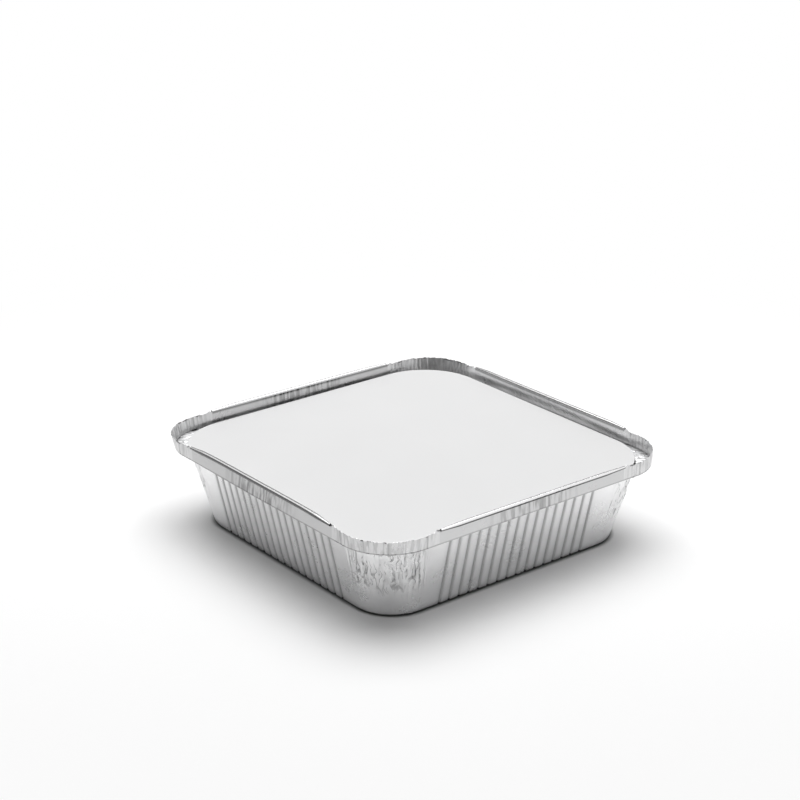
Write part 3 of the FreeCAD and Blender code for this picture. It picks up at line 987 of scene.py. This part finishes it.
def studio_world(away_from_camera, rightwards):
    """A soft room that is bright above and behind, and the brighter cards that the foil mirrors."""
    world = bpy.data.worlds.new("Studio")
    bpy.context.scene.world = world
    world.use_nodes = True
    n = Nodes(world.node_tree)
    direction = n.add("ShaderNodeTexCoord").outputs["Generated"]
    up = n.add("ShaderNodeSeparateXYZ", {"Vector": direction}).outputs["Z"]
    behind = n.vector("DOT_PRODUCT", {0: direction, 1: away_from_camera}, "Value")
    across = n.vector("DOT_PRODUCT", {0: direction, 1: rightwards}, "Value")
    room = n.math("MAXIMUM", n.ramp(up, *ROOM_ABOVE), n.ramp(behind, *ROOM_BEHIND))
    mirrored = n.math("MAXIMUM", n.ramp(up, *TOP_CARD), n.ramp(behind, *BACK_CARD))
    mirrored = n.math("MAXIMUM", mirrored, n.ramp(across, *SIDE_CARD))
    path = n.add("ShaderNodeLightPath").outputs
    lit = n.add("ShaderNodeMix", {"Factor": path["Is Glossy Ray"], "A": room, "B": mirrored})
    level = n.add("ShaderNodeMix", {"Factor": path["Is Camera Ray"], "A": lit.outputs["Result"],
                                    "B": 1.0}).outputs["Result"]
    grey = n.add("ShaderNodeCombineColor", {0: level, 1: level, 2: level})
    sky = n.add("ShaderNodeBackground", {"Color": grey.outputs[0], "Strength": 1.0})
    n.add("ShaderNodeOutputWorld", {"Surface": sky.outputs[0]})


def place_camera(s, back, right):
    """The camera, looking at its aim from behind the given direction."""
    up = back.cross(right)
    rolled_right = right * math.cos(s.roll) + up * math.sin(s.roll)
    rolled_up = up * math.cos(s.roll) - right * math.sin(s.roll)
    data = bpy.data.cameras.new("Camera")
    data.lens = s.lens
    data.sensor_width = SENSOR_WIDTH
    data.clip_end = CLIP_END
    camera = bpy.data.objects.new("Camera", data)
    axes = Matrix((rolled_right, rolled_up, back)).transposed().to_4x4()
    camera.matrix_world = Matrix.Translation(Vector(s.aim) + back * s.distance) @ axes
    bpy.context.scene.collection.objects.link(camera)
    bpy.context.scene.camera = camera


def lay_floor(radius, material):
    """A round flat floor under the object."""
    turns = [2 * math.pi * i / FLOOR_STEPS for i in range(FLOOR_STEPS)]
    edge = [(radius * math.cos(turn), radius * math.sin(turn), 0.0) for turn in turns]
    floor = mesh_object("studio_floor", edge, [list(range(FLOOR_STEPS))])
    floor.data.materials.append(material)


class SCENE_OT_container_stage(bpy.types.Operator):
    """Lay the floor and set the studio light and the camera"""

    bl_idname = "scene.container_stage"
    bl_label = "Stage"

    def execute(self, context):
        s = context.scene.stage_settings
        az, el = s.azimuth, s.elevation
        back = Vector((math.sin(az) * math.cos(el), -math.cos(az) * math.cos(el), math.sin(el)))
        right = Vector((math.cos(az), math.sin(az), 0.0))
        away = Vector((-math.sin(az), math.cos(az), 0.0))
        place_camera(s, back, right)
        lay_floor(s.floor_radius, floor_material(context.scene.finish_settings))
        studio_world(away, right)
        area_light("Key softbox", away * SOFTBOX_AWAY + Vector((0, 0, SOFTBOX_HEIGHT)), (0, 0, 0),
                   SOFTBOX_SIZE, SOFTBOX_SIZE, s.key_power)
        context.scene.view_settings.view_transform = "Standard"
        return {"FINISHED"}


class VIEW3D_PT_foil_container(bpy.types.Panel):
    """Lists the pieces of the foil container and their settings"""

    bl_label = "Foil Container"
    bl_idname = "VIEW3D_PT_foil_container"
    bl_space_type = "VIEW_3D"
    bl_region_type = "UI"
    bl_category = "Foil Container"

    def draw(self, context):
        for operator in (MESH_OT_foil_tray, MESH_OT_board_lid, SCENE_OT_container_stage):
            self.layout.operator(operator.bl_idname)
        for settings in SETTINGS:
            group = getattr(context.scene, settings)
            box = self.layout.box()
            for name in group.bl_rna.properties.keys():
                if name not in ("rna_type", "name"):
                    box.prop(group, name)


SETTINGS = {
    "foil_tray_settings": FoilTraySettings,
    "board_lid_settings": BoardLidSettings,
    "finish_settings": FinishSettings,
    "stage_settings": StageSettings,
}
CLASSES = (*SETTINGS.values(), MESH_OT_foil_tray, MESH_OT_board_lid, SCENE_OT_container_stage,
           VIEW3D_PT_foil_container)


def register():
    for cls in CLASSES:
        bpy.utils.register_class(cls)
    for name, cls in SETTINGS.items():
        setattr(bpy.types.Scene, name, bpy.props.PointerProperty(type=cls))


def unregister():
    for name in SETTINGS:
        delattr(bpy.types.Scene, name)
    for cls in reversed(CLASSES):
        bpy.utils.unregister_class(cls)


def main():
    register()
    bpy.ops.scene.container_stage()
    bpy.ops.mesh.foil_tray()
    bpy.ops.mesh.board_lid()


if __name__ == "__main__":
    main()
